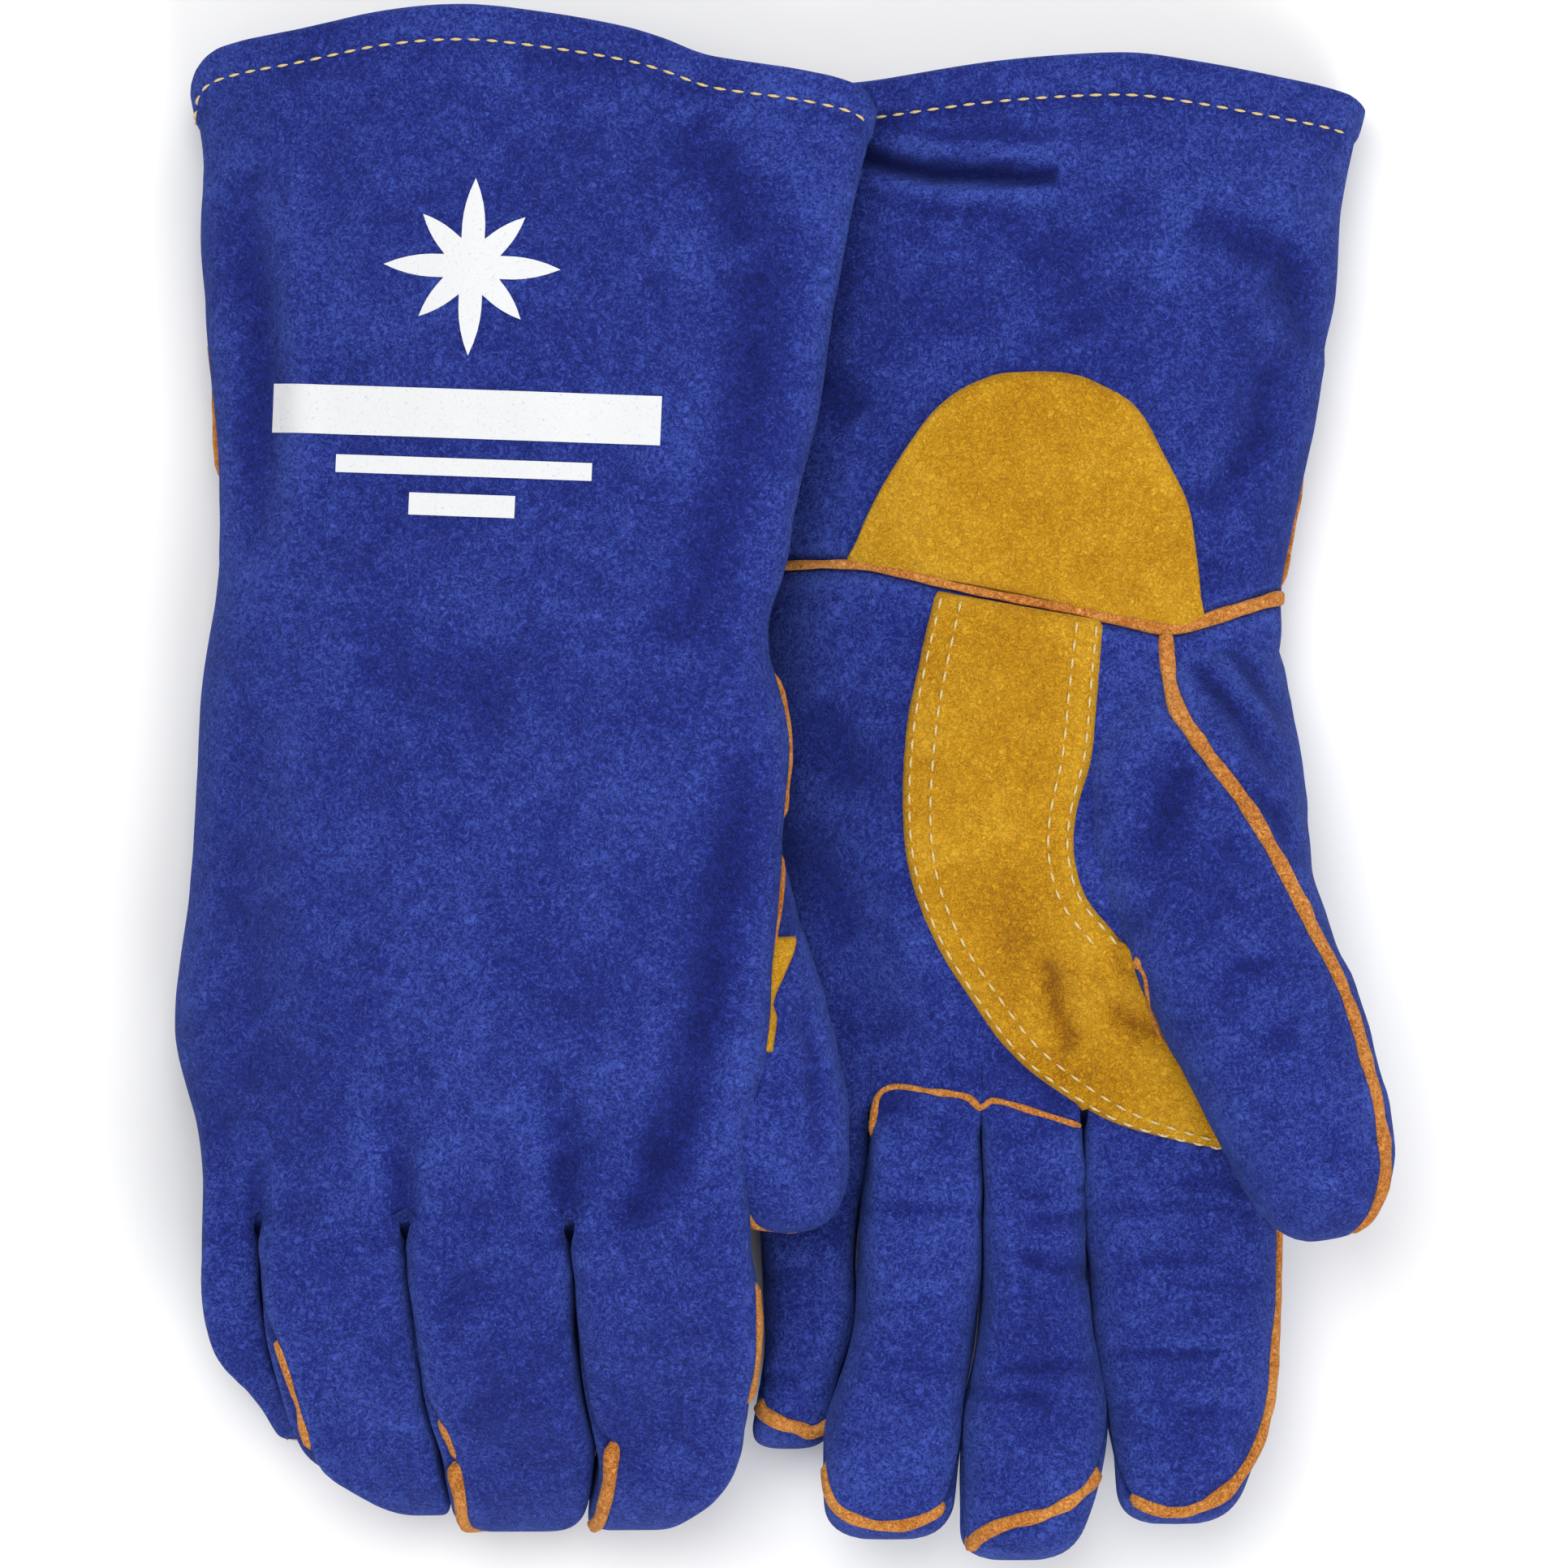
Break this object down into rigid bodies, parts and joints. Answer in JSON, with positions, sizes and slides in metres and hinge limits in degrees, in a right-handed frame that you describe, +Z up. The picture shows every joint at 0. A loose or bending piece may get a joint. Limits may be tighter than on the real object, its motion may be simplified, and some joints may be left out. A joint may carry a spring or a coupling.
{
  "type": "pair of welding gloves",
  "caption": "Lined split-leather gauntlet gloves, one palm up and one back up, with welted seams, patches and open cuffs.",
  "frame": {"origin": "on the surface that the pair lies on, under the middle of the pair", "axes": "+Y towards the cuffs, +X from the right glove to the left glove's thumb, +Z up"},
  "size_m": [0.2736, 0.3486, 0.0613],
  "materials": {
    "blue_split_leather": "napped suede, royal blue, mottled",
    "gold_split_leather": "napped suede, gold",
    "welt_leather": "cut leather strip, orange tan",
    "canvas_lining": "unbleached cotton canvas",
    "fleece_lining": "brushed cotton fleece"
  },
  "bodies": {
    "left_hand": {"left_back_panel": "blue_split_leather", "left_cuff_palm_panel": "blue_split_leather", "left_palm_panel": "blue_split_leather", "left_cuff_hem": "blue_split_leather", "left_cuff_lining": "canvas_lining", "left_hand_lining": "fleece_lining", "left_wrist_welt": "welt_leather", "left_little_side_welt": "welt_leather", "left_thumb_side_welt": "welt_leather", "left_pulse_patch": "gold_split_leather", "left_palm_patch": "gold_split_leather", "left_finger_base_welt": "welt_leather"},
    "left_thumb": {"left_thumb_front": "blue_split_leather", "left_thumb_back": "blue_split_leather", "left_thumb_lining": "fleece_lining", "left_thumb_welt": "welt_leather"},
    "left_little": {"left_little_front": "blue_split_leather", "left_little_back": "blue_split_leather", "left_little_lining": "fleece_lining"},
    "left_ring": {"left_ring_front": "blue_split_leather", "left_ring_back": "blue_split_leather", "left_ring_lining": "fleece_lining"},
    "left_middle": {"left_middle_front": "blue_split_leather", "left_middle_back": "blue_split_leather", "left_middle_lining": "fleece_lining"},
    "left_index": {"left_index_front": "blue_split_leather", "left_index_back": "blue_split_leather", "left_index_lining": "fleece_lining"},
    "right_hand": {"right_back_panel": "blue_split_leather", "right_cuff_palm_panel": "blue_split_leather", "right_palm_panel": "blue_split_leather", "right_cuff_hem": "blue_split_leather", "right_cuff_lining": "canvas_lining", "right_hand_lining": "fleece_lining", "right_wrist_welt": "welt_leather", "right_little_side_welt": "welt_leather", "right_thumb_side_welt": "welt_leather", "right_pulse_patch": "gold_split_leather", "right_palm_patch": "gold_split_leather", "right_finger_base_welt": "welt_leather"},
    "right_thumb": {"right_thumb_front": "blue_split_leather", "right_thumb_back": "blue_split_leather", "right_thumb_lining": "fleece_lining", "right_thumb_welt": "welt_leather"},
    "right_little": {"right_little_front": "blue_split_leather", "right_little_back": "blue_split_leather", "right_little_lining": "fleece_lining"},
    "right_ring": {"right_ring_front": "blue_split_leather", "right_ring_back": "blue_split_leather", "right_ring_lining": "fleece_lining"},
    "right_middle": {"right_middle_front": "blue_split_leather", "right_middle_back": "blue_split_leather", "right_middle_lining": "fleece_lining"},
    "right_index": {"right_index_front": "blue_split_leather", "right_index_back": "blue_split_leather", "right_index_lining": "fleece_lining"}
  },
  "joints": [
    {"name": "right_glove_lift", "type": "slide", "parent": "left_hand", "child": "right_hand", "axis": [0, 0, 1], "range_m": [0, 0.12]},
    {"name": "left_little_flex", "type": "hinge", "parent": "left_hand", "child": "left_little", "pos_m": [0.0062, -0.0802, 0.0226], "axis": [-1, 0, 0], "range_deg": [0, 30], "stiffness_Nm_per_rad": 0.3},
    {"name": "left_ring_flex", "type": "hinge", "parent": "left_hand", "child": "left_ring", "pos_m": [0.0334, -0.0802, 0.0325], "axis": [-1, 0, 0], "range_deg": [0, 60], "stiffness_Nm_per_rad": 0.3},
    {"name": "left_middle_flex", "type": "hinge", "parent": "left_hand", "child": "left_middle", "pos_m": [0.059, -0.0802, 0.035], "axis": [-1, 0, 0], "range_deg": [0, 60], "stiffness_Nm_per_rad": 0.3},
    {"name": "left_index_flex", "type": "hinge", "parent": "left_hand", "child": "left_index", "pos_m": [0.0928, -0.0802, 0.0345], "axis": [-1, 0, 0], "range_deg": [0, 35], "stiffness_Nm_per_rad": 0.3},
    {"name": "left_thumb_spread", "type": "hinge", "parent": "left_hand", "child": "left_thumb", "pos_m": [0.084, 0.0145, 0.045], "axis": [-0.9533, -0.3021, 0], "range_deg": [0, 35], "stiffness_Nm_per_rad": 0.4},
    {"name": "right_little_straighten", "type": "hinge", "parent": "right_hand", "child": "right_little", "pos_m": [-0.1207, -0.1042, 0.039], "axis": [-0.9848, 0, -0.174], "range_deg": [0, 25], "stiffness_Nm_per_rad": 0.3},
    {"name": "right_ring_straighten", "type": "hinge", "parent": "right_hand", "child": "right_ring", "pos_m": [-0.095, -0.1042, 0.0485], "axis": [-1, 0, 0], "range_deg": [0, 25], "stiffness_Nm_per_rad": 0.3},
    {"name": "right_middle_straighten", "type": "hinge", "parent": "right_hand", "child": "right_middle", "pos_m": [-0.0588, -0.1042, 0.053], "axis": [-1, 0, 0], "range_deg": [0, 25], "stiffness_Nm_per_rad": 0.3},
    {"name": "right_index_straighten", "type": "hinge", "parent": "right_hand", "child": "right_index", "pos_m": [-0.0228, -0.1042, 0.057], "axis": [-1, 0, 0], "range_deg": [0, 25], "stiffness_Nm_per_rad": 0.3},
    {"name": "right_thumb_spread", "type": "hinge", "parent": "right_hand", "child": "right_thumb", "pos_m": [-0.013, 0.0165, 0.041], "axis": [-0.3711, -0.028, 0.9282], "range_deg": [0, 22], "stiffness_Nm_per_rad": 0.4}
  ]
}
